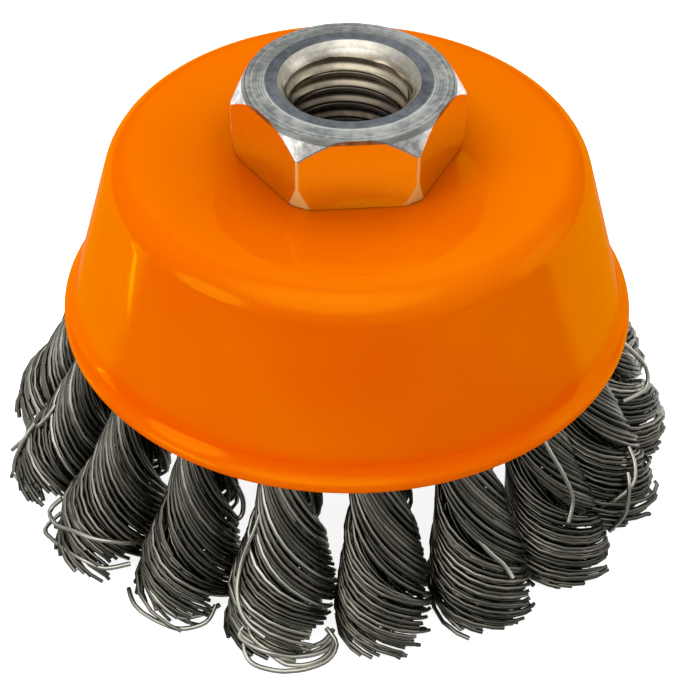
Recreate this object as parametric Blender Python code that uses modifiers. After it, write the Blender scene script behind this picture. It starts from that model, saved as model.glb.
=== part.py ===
# Twist-knot wire cup brush with a hexagon nut for an angle grinder's spindle.
# Metres, +Z up. The brush stands on its knot tips, the nut on top, the axis on Z.
# The origin is on the axis, on the surface that the knot tips touch.

import math

import bmesh
import bpy
from mathutils import Matrix, Vector

MM = 0.001

# Clearances between pieces
SEAT_GAP = 0.3 * MM  # between a piece and the face that it is clamped against
STRAND_GAP = 0.14 * MM  # between the two legs of one tuft, measured across the rope's axis
WALL_CLEARANCE = 0.42 * MM  # between a knot and the cup's wall, where they come closest
ROOT_CLEARANCE = 0.95 * MM  # from a knot to the plane halfway to its neighbour, at the plate
TIP_CLEARANCE = 0.03 * MM  # the same for the rope's wide side where the knots are fullest
LEG_SIDE_CLEARANCE = 1.15 * MM  # from each side of a leg to the widest part of its hole
LEG_BACK_CLEARANCE = 3.0 * MM  # behind a leg, on the side of its hole toward the brush's axis

# Whole brush
OVERALL_HEIGHT = 48.5 * MM  # from the knot tips to the face of the nut

# Nut
THREAD_DIAMETER = 14.0 * MM  # M14, at the roots of the nut's thread
THREAD_PITCH = 2.0 * MM
THREAD_DEPTH = 0.5413 * THREAD_PITCH  # an ISO metric nut thread
MOUTH_ALLOWANCE = 0.5 * MM  # how far the thread's end chamfers open past the roots
NUT_ACROSS_FLATS = 22.0 * MM
NUT_HEAD_HEIGHT = 8.2 * MM
NUT_TURN = math.radians(4.9)  # angle of one corner from +X
NUT_EDGE_RADIUS = 1.2 * MM  # on the six upright edges
NUT_FACE_INSET = 0.25 * MM  # from the flats in to the edge of the flat ring on top
NUT_CHAMFER_ANGLE = math.radians(55.0)  # slope of the top chamfer, from the face
NUT_FOOT_CUT = 0.75 * MM  # how far the foot chamfer takes the corners in
NUT_FOOT_HEIGHT = 2.1 * MM
BLANK_ALLOWANCE = 0.3 * MM  # how far the turned blank stands clear of the corners
FACE_RING_WIDTH = 1.7 * MM  # shallow turned ring round the thread
FACE_RING_DEPTH = 0.15 * MM
SPIGOT_WALL = 1.2 * MM  # of the round shank, outside the thread's roots
STAKE_REACH = 1.3 * MM  # how far the staked lip stands out past the shank
STAKE_THICKNESS = 1.2 * MM

# Cup
CUP_SHEET = 1.4 * MM
CUP_FLAT_RADIUS = 22.2 * MM  # where the flat top ends and the shoulder begins
CUP_SHOULDER_RADIUS = 3.9 * MM
CUP_WALL_ANGLE = math.radians(14.9)  # how far the wall leans out from upright
CUP_WALL_DROP = 17.4 * MM  # from the cup's top down to where the rim starts to flare
CUP_FLARE_RADIUS = 4.4 * MM
CUP_RIM_ANGLE = math.radians(55.0)  # slope of the rim's lip, from upright
CUP_EDGE_CUT = 0.35 * MM  # the enamel rounds the sheet's cut edges by this much

# Knot plate, dished so that its edge lies square to the knots
PLATE_SHEET = 1.8 * MM
PLATE_HUB_MARGIN = 1.9 * MM  # flat hub outside the staked lip
PLATE_EDGE_DROP = 7.9 * MM  # from the cup's top down to the middle of the edge web
PLATE_WEB = 1.4 * MM  # material between a hole and the plate's edge
PLATE_BRIDGE = 1.4 * MM  # material between one hole and the next
PLATE_HOLE_LAND = 1.05 * MM  # material between a hole and the bend where the dish begins

# Knots
KNOT_COUNT = 18
KNOT_TURN = math.radians(-102.0)  # angle of the first knot from +X
KNOT_SPLAY = math.radians(2.4)  # how much more than the wall the knots lean out
LEG_MERGE = 7.0 * MM  # length below the plate over which the two legs close up into a rope
ROPE_FLATTENING = 0.9  # width of one leg against the rope's wide side
LEG_ROUNDING = 0.72  # how far a leg's outer face falls back toward its sides, 1 for a half disc
ROPE_SWELL_START = 10.0 * MM  # down the knot, from the plate's edge
ROPE_FULL_LENGTH = 5.5 * MM  # fullest stretch, at the tip
ROPE_SWELL_POWER = 1.1  # over 1 makes the rope swell late
TIP_ROUNDING = 1.6 * MM  # length over which the cut end draws in
TIP_SHRINK = 0.08  # share of its width that the cut end loses
LAY_AT_PLATE = 38.0 * MM  # length of knot in which the rope turns once
LAY_AT_TIP = 11.5 * MM
TWIST_RISE = 4.0  # power with which the twist tightens toward the tip
SECTION_SQUARENESS = 0.8  # 1 makes a leg's section an ellipse, and less makes it squarer

# Facets, and how far a cutter reaches past what it cuts
TURN_STEPS = 48
HOLE_SIDES = 16
LEG_SIDES = 8
LEG_RINGS = 12
FOLD_RINGS = 3
EDGE_SEGMENTS = 3
SHOULDER_POINTS = 5
FLARE_POINTS = 4
STATION_POWER = 1.6  # over 1 draws the rings together toward the tip
CUT_MARGIN = 3.0 * MM

# The nut's heights and radii
NUT_HEAD_BOTTOM = OVERALL_HEIGHT - NUT_HEAD_HEIGHT
NUT_CORNER_RADIUS = NUT_ACROSS_FLATS / math.sqrt(3)
NUT_FACE_RADIUS = NUT_ACROSS_FLATS / 2 - NUT_FACE_INSET
THREAD_ROOT_RADIUS = THREAD_DIAMETER / 2
THREAD_CREST_RADIUS = THREAD_ROOT_RADIUS - THREAD_DEPTH
SPIGOT_RADIUS = THREAD_ROOT_RADIUS + SPIGOT_WALL
STAKE_RADIUS = SPIGOT_RADIUS + STAKE_REACH
HUB_HOLE_RADIUS = SPIGOT_RADIUS + SEAT_GAP

# The stack that the nut clamps, from the top down
CUP_TOP = NUT_HEAD_BOTTOM - SEAT_GAP
PLATE_HUB_TOP = CUP_TOP - CUP_SHEET - SEAT_GAP
STAKE_TOP = PLATE_HUB_TOP - PLATE_SHEET - SEAT_GAP
STAKE_BOTTOM = STAKE_TOP - STAKE_THICKNESS
PLATE_HUB_RADIUS = STAKE_RADIUS + PLATE_HUB_MARGIN
PLATE_EDGE_HEIGHT = CUP_TOP - PLATE_EDGE_DROP

# The cup's wall
FLARE_TOP = CUP_TOP - CUP_WALL_DROP
WALL_TOP = CUP_TOP - CUP_SHOULDER_RADIUS * (1 - math.sin(CUP_WALL_ANGLE))
WALL_TOP_RADIUS = CUP_FLAT_RADIUS + CUP_SHOULDER_RADIUS * math.cos(CUP_WALL_ANGLE)
FLARE_RADIUS = WALL_TOP_RADIUS + (WALL_TOP - FLARE_TOP) * math.tan(CUP_WALL_ANGLE)

# A knot comes closest to the wall where the flare starts. There its radius and its
# wall clearance come off the wall's inner radius, while at the plate the same radius
# is half the space to the next knot less the root clearance. Both give the edge radius.
KNOT_LEAN = CUP_WALL_ANGLE + KNOT_SPLAY
HALF_STEP = math.sin(math.pi / KNOT_COUNT)  # half the space between two knots, at radius 1
INNER_FLARE_RADIUS = FLARE_RADIUS - CUP_SHEET / math.cos(CUP_WALL_ANGLE)
AXIS_RUN = (PLATE_EDGE_HEIGHT - FLARE_TOP) * math.tan(KNOT_LEAN)
KNOT_EDGE_RADIUS = (
    INNER_FLARE_RADIUS - AXIS_RUN + (ROOT_CLEARANCE - WALL_CLEARANCE) / math.cos(CUP_WALL_ANGLE)
) / (1 + HALF_STEP / math.cos(CUP_WALL_ANGLE))
ROPE_RADIUS = KNOT_EDGE_RADIUS * HALF_STEP - ROOT_CLEARANCE

# The holes leave the web outside them and one bridge between neighbours.
WEB_RUN = math.cos(KNOT_LEAN) * PLATE_WEB / 2
PLATE_HOLE_DIAMETER = (2 * HALF_STEP * (KNOT_EDGE_RADIUS - WEB_RUN) - PLATE_BRIDGE) / (
    1 + HALF_STEP * math.cos(KNOT_LEAN)
)
HOLE_INNER_REACH = PLATE_WEB / 2 + PLATE_HOLE_DIAMETER  # from the web's middle
PLATE_DISH_RADIUS = KNOT_EDGE_RADIUS - HOLE_INNER_REACH * math.cos(KNOT_LEAN) - PLATE_HOLE_LAND
LEG_DEPTH = PLATE_HOLE_DIAMETER - SEAT_GAP - LEG_BACK_CLEARANCE
LEG_WIDTH = PLATE_HOLE_DIAMETER - 2 * LEG_SIDE_CLEARANCE
LEG_CLEAR = PLATE_SHEET / 2 + SEAT_GAP  # down the knot, where a leg leaves the plate
KNOT_LENGTH = PLATE_EDGE_HEIGHT / math.cos(KNOT_LEAN)  # from the plate's edge down to the ground


def clear_scene():
    for obj in list(bpy.data.objects):
        bpy.data.objects.remove(obj, do_unlink=True)


def new_collection(name):
    collection = bpy.data.collections.new(name)
    bpy.context.scene.collection.children.link(collection)
    return collection


def new_material(name, colour, roughness, metallic):
    material = bpy.data.materials.new(name)
    material.use_nodes = True
    shader = material.node_tree.nodes["Principled BSDF"]
    shader.inputs["Base Color"].default_value = (*colour, 1)
    shader.inputs["Roughness"].default_value = roughness
    shader.inputs["Metallic"].default_value = metallic
    return material


def new_object(name, mesh, collection, material=None):
    obj = bpy.data.objects.new(name, mesh)
    collection.objects.link(obj)
    if material and not mesh.materials:
        mesh.materials.append(material)
    return obj


def mark_as_cutter(obj):
    obj.hide_render = True
    obj.display_type = "WIRE"


def profile_mesh(name, points, closed):
    # A chain of edges in the XZ plane, ready to be turned round Z.
    mesh = bmesh.new()
    chain = [mesh.verts.new((radius, 0, height)) for radius, height in points]
    for first, second in zip(chain, chain[1:]):
        mesh.edges.new((first, second))
    if closed:
        mesh.edges.new((chain[-1], chain[0]))
    data = bpy.data.meshes.new(name)
    mesh.to_mesh(data)
    mesh.free()
    return data


def add_turn(obj):
    turn = obj.modifiers.new("turn", "SCREW")
    turn.steps = TURN_STEPS
    turn.render_steps = TURN_STEPS
    turn.use_merge_vertices = True
    turn.merge_threshold = 0.01 * MM
    turn.use_smooth_shade = True


def add_sheet(obj, thickness):
    # The turned surface is the upper face, and the sheet grows down from it.
    sheet = obj.modifiers.new("sheet", "SOLIDIFY")
    sheet.thickness = thickness
    sheet.offset = -1
    sheet.use_even_offset = True


def add_cut(obj, cutter, operation):
    cut = obj.modifiers.new(cutter.name, "BOOLEAN")
    cut.operation = operation
    cut.object = cutter


def arc_points(centre, radius, start, end, count):
    # Points on an arc, the ends included. Angles run from +X toward +Z.
    points = []
    for i in range(count):
        angle = start + (end - start) * i / (count - 1)
        points.append((centre[0] + radius * math.cos(angle), centre[1] + radius * math.sin(angle)))
    return points


def cup_profile():
    # The outer face from the hole's edge over the shoulder and down to the rim.
    shoulder_centre = (CUP_FLAT_RADIUS, CUP_TOP - CUP_SHOULDER_RADIUS)
    shoulder = arc_points(
        shoulder_centre, CUP_SHOULDER_RADIUS, math.pi / 2, CUP_WALL_ANGLE, SHOULDER_POINTS
    )
    flare_centre = (
        FLARE_RADIUS + CUP_FLARE_RADIUS * math.cos(CUP_WALL_ANGLE),
        FLARE_TOP + CUP_FLARE_RADIUS * math.sin(CUP_WALL_ANGLE),
    )
    flare = arc_points(
        flare_centre,
        CUP_FLARE_RADIUS,
        math.pi + CUP_WALL_ANGLE,
        math.pi + CUP_RIM_ANGLE,
        FLARE_POINTS,
    )
    return [(HUB_HOLE_RADIUS, CUP_TOP)] + shoulder + flare


def make_cup(parts):
    enamel = new_material("orange_enamel", (0.87, 0.15, 0.0), 0.18, 0.0)
    cup = new_object("cup", profile_mesh("cup", cup_profile(), False), parts, enamel)
    add_turn(cup)
    add_sheet(cup, CUP_SHEET)
    edges = cup.modifiers.new("cut_edges", "BEVEL")
    edges.width = CUP_EDGE_CUT
    edges.segments = 1
    edges.limit_method = "ANGLE"
    edges.angle_limit = math.radians(60.0)


def nut_blank_profile():
    # The turned form inside which the hexagon is kept: chamfers, shank, staked lip and bore.
    outer_radius = NUT_CORNER_RADIUS + BLANK_ALLOWANCE
    chamfer_drop = (outer_radius - NUT_FACE_RADIUS) * math.tan(NUT_CHAMFER_ANGLE)
    foot_rise = (NUT_FOOT_CUT + BLANK_ALLOWANCE) * NUT_FOOT_HEIGHT / NUT_FOOT_CUT
    ring_radius = THREAD_ROOT_RADIUS + FACE_RING_WIDTH
    ring_floor = OVERALL_HEIGHT - FACE_RING_DEPTH
    mouth_radius = THREAD_ROOT_RADIUS + MOUTH_ALLOWANCE
    mouth_depth = mouth_radius - THREAD_CREST_RADIUS
    return [
        (NUT_FACE_RADIUS, OVERALL_HEIGHT),
        (outer_radius, OVERALL_HEIGHT - chamfer_drop),
        (outer_radius, NUT_HEAD_BOTTOM + foot_rise),
        (NUT_CORNER_RADIUS - NUT_FOOT_CUT, NUT_HEAD_BOTTOM),
        (SPIGOT_RADIUS, NUT_HEAD_BOTTOM),
        (SPIGOT_RADIUS, STAKE_TOP),
        (STAKE_RADIUS, STAKE_TOP),
        (STAKE_RADIUS, STAKE_TOP - STAKE_THICKNESS / 2),
        (SPIGOT_RADIUS, STAKE_BOTTOM),
        (mouth_radius, STAKE_BOTTOM),
        (THREAD_CREST_RADIUS, STAKE_BOTTOM + mouth_depth),
        (THREAD_CREST_RADIUS, ring_floor - mouth_depth),
        (mouth_radius, ring_floor),
        (ring_radius, ring_floor),
        (ring_radius, OVERALL_HEIGHT),
    ]


def make_nut(parts, cutters):
    steel = new_material("plated_steel", (0.72, 0.72, 0.7), 0.22, 1.0)
    blank = new_object("nut_blank", profile_mesh("nut_blank", nut_blank_profile(), True), cutters)
    add_turn(blank)
    mark_as_cutter(blank)
    low, high = STAKE_BOTTOM - CUT_MARGIN, OVERALL_HEIGHT + CUT_MARGIN
    mesh = bmesh.new()
    bmesh.ops.create_cone(
        mesh,
        cap_ends=True,
        segments=6,
        radius1=NUT_CORNER_RADIUS,
        radius2=NUT_CORNER_RADIUS,
        depth=high - low,
        matrix=Matrix.Translation((0, 0, (low + high) / 2)),
    )
    data = bpy.data.meshes.new("hex_nut")
    mesh.to_mesh(data)
    mesh.free()
    nut = new_object("hex_nut", data, parts, steel)
    first = data.vertices[0].co
    nut.rotation_euler.z = NUT_TURN - math.atan2(first.y, first.x)
    rounding = nut.modifiers.new("upright_edges", "BEVEL")
    rounding.width = NUT_EDGE_RADIUS * math.tan(math.pi / 6)  # each edge turns by 60 degrees
    rounding.segments = EDGE_SEGMENTS
    rounding.limit_method = "ANGLE"
    add_cut(nut, blank, "INTERSECT")


# The knot's own directions at azimuth 0: down its axis, out from the brush, and sideways.
KNOT_DOWN = Vector((math.sin(KNOT_LEAN), 0, -math.cos(KNOT_LEAN)))
KNOT_OUT = Vector((math.cos(KNOT_LEAN), 0, math.sin(KNOT_LEAN)))
KNOT_SIDE = Vector((0, 1, 0))
WEB_CENTRE = Vector((KNOT_EDGE_RADIUS, 0, PLATE_EDGE_HEIGHT))


def plate_profile():
    # The upper face: flat hub, cone of the dish, and the edge zone that slopes up to the knots.
    edge_top = WEB_CENTRE - KNOT_DOWN * (PLATE_SHEET / 2)
    outer_end = edge_top + KNOT_OUT * (PLATE_WEB / 2)
    inner_end = edge_top - KNOT_OUT * ((edge_top.x - PLATE_DISH_RADIUS) / KNOT_OUT.x)
    return [
        (HUB_HOLE_RADIUS, PLATE_HUB_TOP),
        (PLATE_HUB_RADIUS, PLATE_HUB_TOP),
        (inner_end.x, inner_end.z),
        (outer_end.x, outer_end.z),
    ]


def knot_angles():
    return [KNOT_TURN + 2 * math.pi * i / KNOT_COUNT for i in range(KNOT_COUNT)]


def hole_cutter(cutters):
    # One round punch for each knot, square to the plate's edge zone.
    hole_centre = WEB_CENTRE - KNOT_OUT * (PLATE_WEB / 2 + PLATE_HOLE_DIAMETER / 2)
    tilt = Matrix.Rotation(-KNOT_LEAN, 4, "Y")
    mesh = bmesh.new()
    for angle in knot_angles():
        bmesh.ops.create_cone(
            mesh,
            cap_ends=True,
            segments=HOLE_SIDES,
            radius1=PLATE_HOLE_DIAMETER / 2,
            radius2=PLATE_HOLE_DIAMETER / 2,
            depth=PLATE_SHEET + 2 * CUT_MARGIN,
            matrix=Matrix.Rotation(angle, 4, "Z") @ Matrix.Translation(hole_centre) @ tilt,
        )
    data = bpy.data.meshes.new("knot_holes")
    mesh.to_mesh(data)
    mesh.free()
    cutter = new_object("knot_holes", data, cutters)
    mark_as_cutter(cutter)
    return cutter


def make_plate(parts, cutters):
    steel = new_material("plate_steel", (0.42, 0.42, 0.4), 0.4, 1.0)
    plate = new_object("knot_plate", profile_mesh("knot_plate", plate_profile(), False), parts, steel)
    add_turn(plate)
    add_sheet(plate, PLATE_SHEET)
    add_cut(plate, hole_cutter(cutters), "DIFFERENCE")


def twist(along):
    # Angle that the rope has turned through, with the twist tightening toward the tip.
    below = max(along - LEG_CLEAR, 0)
    slow, fast = 2 * math.pi / LAY_AT_PLATE, 2 * math.pi / LAY_AT_TIP
    tightening = (fast - slow) * KNOT_LENGTH / (TWIST_RISE + 1)
    return slow * below + tightening * (below / KNOT_LENGTH) ** (TWIST_RISE + 1)


def rope_radius(along):
    # Half the rope's wide side, which swells with the space between the knots.
    swell_end = KNOT_LENGTH - ROPE_FULL_LENGTH
    ring_radius = KNOT_EDGE_RADIUS + swell_end * math.sin(KNOT_LEAN)
    full_radius = ring_radius * HALF_STEP - TIP_CLEARANCE
    share = min(max((along - ROPE_SWELL_START) / (swell_end - ROPE_SWELL_START), 0), 1)
    radius = ROPE_RADIUS + (full_radius - ROPE_RADIUS) * share**ROPE_SWELL_POWER
    into_tip = max(along - (KNOT_LENGTH - TIP_ROUNDING), 0) / TIP_ROUNDING
    return radius * (1 - TIP_SHRINK * into_tip**2)


def leg_section(along):
    # Inner reach, outer reach, half width and rounding of one leg, seen down the knot's axis.
    at_plate = (
        PLATE_WEB / 2 + SEAT_GAP,
        PLATE_WEB / 2 + SEAT_GAP + LEG_DEPTH,
        LEG_WIDTH / 2,
        0,
    )
    radius = rope_radius(along)
    in_rope = (STRAND_GAP / 2, radius, radius * ROPE_FLATTENING, LEG_ROUNDING)
    share = min(max((along - LEG_CLEAR) / LEG_MERGE, 0), 1)
    share = share * share * (3 - 2 * share)
    return [a + (b - a) * share for a, b in zip(at_plate, in_rope)]


def section_ring(centre, outward, sideways, section):
    # A rounded outline drawn from its inner reach to its outer reach along outward.
    inner, outer, half_width, rounding = section
    points = []
    for i in range(LEG_SIDES):
        angle = 2 * math.pi * i / LEG_SIDES
        across = math.copysign(abs(math.cos(angle)) ** SECTION_SQUARENESS, math.cos(angle))
        aside = math.copysign(abs(math.sin(angle)) ** SECTION_SQUARENESS, math.sin(angle))
        depth = (outer - inner) * math.sqrt(1 - (rounding * aside) ** 2)
        points.append(
            centre
            + outward * (inner + depth * (1 + across) / 2)
            + sideways * (half_width * aside)
        )
    return points


def leg_stations():
    # Distances down the knot, closer together where the twist is tight.
    stations = []
    for i in range(LEG_RINGS + 1):
        share = 1 - (1 - i / LEG_RINGS) ** STATION_POWER
        stations.append(LEG_CLEAR + (KNOT_LENGTH - LEG_CLEAR) * share)
    return stations


def leg_ring(along, side):
    # One ring of a leg. side is 1 for the leg that starts outside the web, -1 for the other.
    angle = twist(along)
    outward = (KNOT_OUT * math.cos(angle) + KNOT_SIDE * math.sin(angle)) * side
    sideways = KNOT_SIDE * math.cos(angle) - KNOT_OUT * math.sin(angle)
    centre = WEB_CENTRE + KNOT_DOWN * along
    ring = section_ring(centre, outward, sideways, leg_section(along))
    # Down the swell the rings lean over, until the cut end lies level on the ground.
    level = max(along - ROPE_SWELL_START, 0) / (KNOT_LENGTH - ROPE_SWELL_START)
    slope = math.tan(KNOT_LEAN) * level
    return [point + KNOT_DOWN * (slope * (point - centre).dot(KNOT_OUT)) for point in ring]


def leg_rings(side):
    return [leg_ring(along, side) for along in leg_stations()]


def fold_rings():
    # Rings over the top of the web, from the outer leg to the inner one.
    centre = WEB_CENTRE - KNOT_DOWN * (PLATE_SHEET / 2)
    rings = []
    for i in range(FOLD_RINGS + 2):
        angle = math.pi * i / (FOLD_RINGS + 1)
        outward = KNOT_OUT * math.cos(angle) - KNOT_DOWN * math.sin(angle)
        rings.append(section_ring(centre, outward, KNOT_SIDE, leg_section(0)))
    return rings


def knot_mesh():
    # The tuft at azimuth 0: up the outer leg, over the plate's edge, down the inner leg.
    rings = leg_rings(1)[::-1] + fold_rings() + leg_rings(-1)
    mesh = bmesh.new()
    loops = [[mesh.verts.new(point) for point in ring] for ring in rings]
    for lower, upper in zip(loops, loops[1:]):
        for i in range(LEG_SIDES):
            j = (i + 1) % LEG_SIDES
            # These diagonals fall away from the other leg as the rope turns.
            mesh.faces.new((lower[i], lower[j], upper[i]))
            mesh.faces.new((lower[j], upper[j], upper[i]))
    mesh.faces.new(loops[0])
    mesh.faces.new(loops[-1])
    bmesh.ops.recalc_face_normals(mesh, faces=mesh.faces)
    for face in mesh.faces:
        face.smooth = len(face.verts) < LEG_SIDES
    data = bpy.data.meshes.new("knot")
    mesh.to_mesh(data)
    mesh.free()
    return data


def make_knots(parts):
    wire = new_material("steel_wire", (0.17, 0.165, 0.15), 0.4, 1.0)
    data = knot_mesh()
    for number, angle in enumerate(knot_angles(), start=1):
        knot = new_object(f"knot_{number:02d}", data, parts, wire)
        knot.rotation_euler.z = angle


def main():
    clear_scene()
    parts = new_collection("wire_cup_brush")
    cutters = new_collection("cutters")
    make_cup(parts)
    make_nut(parts, cutters)
    make_plate(parts, cutters)
    make_knots(parts)


main()
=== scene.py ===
# Twist-knot wire cup brush: the looks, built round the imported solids.
# Metres, +Z up. The brush stands on its knot tips, the nut on top, and the camera looks along +Y.

import math
from types import SimpleNamespace

import bmesh
import bpy
from mathutils import Matrix, Vector


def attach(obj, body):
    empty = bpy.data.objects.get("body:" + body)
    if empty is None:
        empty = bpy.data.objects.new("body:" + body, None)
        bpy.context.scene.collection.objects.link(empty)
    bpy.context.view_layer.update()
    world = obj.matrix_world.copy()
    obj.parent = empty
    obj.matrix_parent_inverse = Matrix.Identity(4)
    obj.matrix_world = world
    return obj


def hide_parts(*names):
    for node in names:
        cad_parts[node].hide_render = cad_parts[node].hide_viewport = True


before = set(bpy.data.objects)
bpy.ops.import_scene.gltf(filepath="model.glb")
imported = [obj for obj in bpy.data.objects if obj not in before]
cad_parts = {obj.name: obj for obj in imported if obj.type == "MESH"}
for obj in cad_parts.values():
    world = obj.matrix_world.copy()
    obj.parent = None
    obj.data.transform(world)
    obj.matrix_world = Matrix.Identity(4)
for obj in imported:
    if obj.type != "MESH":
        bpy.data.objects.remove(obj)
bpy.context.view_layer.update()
mm = 0.001
tiny = 0.001 * mm  # points as close as this are one
print("frame loaded:", len(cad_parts), "solids")


class Flow:
    # Wraps one socket of a node tree, so that sums on it read as Python and add Math nodes.
    def __init__(self, tree, socket=None):
        self.tree = tree
        self.socket = socket

    def node(self, kind, settings=None, values=None, out=0):
        made = self.tree.nodes.new(kind)
        for name, value in (settings or {}).items():
            if name == "stops":
                fillRamp(made.color_ramp, value)
            else:
                setattr(made, name, value)
        for name, value in (values or {}).items():
            if isinstance(value, Flow):
                self.tree.links.new(value.socket, made.inputs[name])
            else:
                made.inputs[name].default_value = value
        return Flow(self.tree, made.outputs[out])

    def other(self, out):
        return Flow(self.tree, self.socket.node.outputs[out])

    def maths(self, operation, *terms):
        return self.node("ShaderNodeMath", {"operation": operation}, dict(enumerate(terms)))

    def __add__(self, term):
        return self.maths("ADD", self, term)

    def __radd__(self, term):
        return self.maths("ADD", term, self)

    def __sub__(self, term):
        return self.maths("SUBTRACT", self, term)

    def __rsub__(self, term):
        return self.maths("SUBTRACT", term, self)

    def __mul__(self, term):
        return self.maths("MULTIPLY", self, term)

    def __rmul__(self, term):
        return self.maths("MULTIPLY", term, self)

    def __truediv__(self, term):
        return self.maths("DIVIDE", self, term)

    def __rtruediv__(self, term):
        return self.maths("DIVIDE", term, self)

    def __pow__(self, term):
        return self.maths("POWER", self, term)

    def __abs__(self):
        return self.maths("ABSOLUTE", self)

    def cosine(self):
        return self.maths("COSINE", self)

    def sine(self):
        return self.maths("SINE", self)

    def atLeast(self, low):
        return self.maths("MAXIMUM", self, low)

    def atMost(self, high):
        return self.maths("MINIMUM", self, high)

    def clamped(self, low=0.0, high=1.0):
        return self.atLeast(low).atMost(high)

    def eased(self):
        return self * self * (3 - 2 * self)

    def ranged(self, low, high):
        # 0 at low and 1 at high, eased in between
        return ((self - low) / (high - low)).clamped().eased()

    def between(self, first, second):
        # self is the share of the second of two numbers
        return first + (second - first) * self

    def blended(self, first, second, how="MIX"):
        # self is the factor between two colours
        values = {0: self, 6: first, 7: second}
        return self.node("ShaderNodeMix", {"data_type": "RGBA", "blend_type": how}, values, 2)

    def parts(self):
        x = self.node("ShaderNodeSeparateXYZ", {}, {0: self})
        return x, x.other("Y"), x.other("Z")

    def vector(self, x=0.0, y=0.0, z=0.0):
        return self.node("ShaderNodeCombineXYZ", {}, {0: x, 1: y, 2: z})

    def noise(self, scale, detail, out=0):
        # self is the place
        values = {"Vector": self, "Scale": scale, "Detail": detail}
        return self.node("ShaderNodeTexNoise", {}, values, out)

    def bumped(self, strength, distance):
        # self is the height
        values = {"Height": self, "Strength": strength, "Distance": distance}
        return self.node("ShaderNodeBump", {}, values)


def fillRamp(ramp, stops):
    while len(ramp.elements) < len(stops):
        ramp.elements.new(0.5)
    for element, (place, colour) in zip(ramp.elements, stops):
        element.position = place
        element.color = colour


def newMaterial(name, **fixed):
    material = bpy.data.materials.new(name)
    material.use_nodes = True
    shader = material.node_tree.nodes["Principled BSDF"]
    for socket, value in fixed.items():
        shader.inputs[socket.replace("_", " ")].default_value = value
    return material, Flow(material.node_tree), shader


def feed(shader, **flows):
    for socket, flow in flows.items():
        flow.tree.links.new(flow.socket, shader.inputs[socket.replace("_", " ")])


def outOf(node):
    return Flow(node.id_data, node.outputs[0])


def useSurface(flow):
    # Makes this shader the one that the material shows.
    feed(flow.tree.nodes["Material Output"], Surface=flow)


def grey(level):
    return (level, level, level, 1)


def newTree(name, sizes, alongPath=False):
    # A Geometry Nodes tree with one named input for each of the sizes.
    tree = bpy.data.node_groups.new(name, "GeometryNodeTree")
    if alongPath:
        tree.interface.new_socket("path", in_out="INPUT", socket_type="NodeSocketGeometry")
    for label, value in sizes.items():
        kind = "NodeSocketInt" if isinstance(value, int) else "NodeSocketFloat"
        tree.interface.new_socket(label, in_out="INPUT", socket_type=kind)
    tree.interface.new_socket("mesh", in_out="OUTPUT", socket_type="NodeSocketGeometry")
    group = tree.nodes.new("NodeGroupInput")
    labels = list(sizes) + ["path"] * alongPath
    inputs = SimpleNamespace(**{label: Flow(tree, group.outputs[label]) for label in labels})
    return tree, Flow(tree), inputs


def endTree(mesh, material):
    mesh = mesh.node("GeometryNodeSetShadeSmooth", {}, {"Geometry": mesh})
    mesh = mesh.node("GeometryNodeRealizeInstances", {}, {"Geometry": mesh})
    mesh = mesh.node("GeometryNodeSetMaterial", {}, {"Geometry": mesh, "Material": material})
    group = mesh.tree.nodes.new("NodeGroupOutput")
    mesh.tree.links.new(mesh.socket, group.inputs["mesh"])


def grow(name, tree, sizes, path=None):
    # Runs the tree with these sizes, and keeps its result as a plain mesh.
    host = bpy.data.objects.new(name, path or bpy.data.meshes.new(name))
    bpy.context.scene.collection.objects.link(host)
    modifier = host.modifiers.new(tree.name, "NODES")
    modifier.node_group = tree
    for item in tree.interface.items_tree:
        if item.in_out == "INPUT" and item.name in sizes:
            modifier[item.identifier] = sizes[item.name]
    depsgraph = bpy.context.evaluated_depsgraph_get()
    grown = bpy.data.meshes.new_from_object(host.evaluated_get(depsgraph))
    host.modifiers.clear()
    host.data = grown
    return host


def newPiece(name, mesh, material):
    piece = bpy.data.objects.new(name, mesh)
    bpy.context.scene.collection.objects.link(piece)
    mesh.materials.append(material)
    return piece


def seat(piece, slot, *nodes):
    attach(piece, "root")
    if nodes:
        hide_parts(*nodes)


def onArc(centre, radius, angle):
    # A point in the section plane, its angle from +X toward +Z.
    return centre[0] + radius * math.cos(angle), centre[1] + radius * math.sin(angle)


def arc(centre, radius, start, end, count):
    # Points along an arc, both ends included.
    angles = [start + (end - start) * i / (count - 1) for i in range(count)]
    return [onArc(centre, radius, angle) for angle in angles]


def turnedMesh(name, section, steps):
    # A closed section, turned round Z.
    mesh = bmesh.new()
    rings = []
    for i in range(steps):
        angle = 2 * math.pi * i / steps
        across, along = math.cos(angle), math.sin(angle)
        rings.append([mesh.verts.new((r * across, r * along, z)) for r, z in section])
    for i, ring in enumerate(rings):
        following = rings[(i + 1) % steps]
        for j in range(len(section)):
            k = (j + 1) % len(section)
            mesh.faces.new((ring[j], following[j], following[k], ring[k]))
    bmesh.ops.recalc_face_normals(mesh, faces=mesh.faces)
    data = bpy.data.meshes.new(name)
    mesh.to_mesh(data)
    mesh.free()
    data.shade_smooth()
    return data


# Camera, at the photograph's angle
view = {
    "place": (0.4 * mm, -189.27 * mm, 177.14 * mm),
    "down": math.radians(41.188),  # below the horizon
    "roll": math.radians(0.684),
    "lens": 113.64,  # for a sensor 36 wide
    "nearest": 10 * mm,
}


def addCamera():
    camera = bpy.data.objects.new("camera", bpy.data.cameras.new("camera"))
    camera.data.lens = view["lens"]
    camera.data.clip_start = view["nearest"]
    camera.matrix_world = (
        Matrix.Translation(view["place"])
        @ Matrix.Rotation(math.pi / 2 - view["down"], 4, "X")
        @ Matrix.Rotation(view["roll"], 4, "Z")
    )
    bpy.context.scene.collection.objects.link(camera)
    bpy.context.scene.camera = camera


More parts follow.
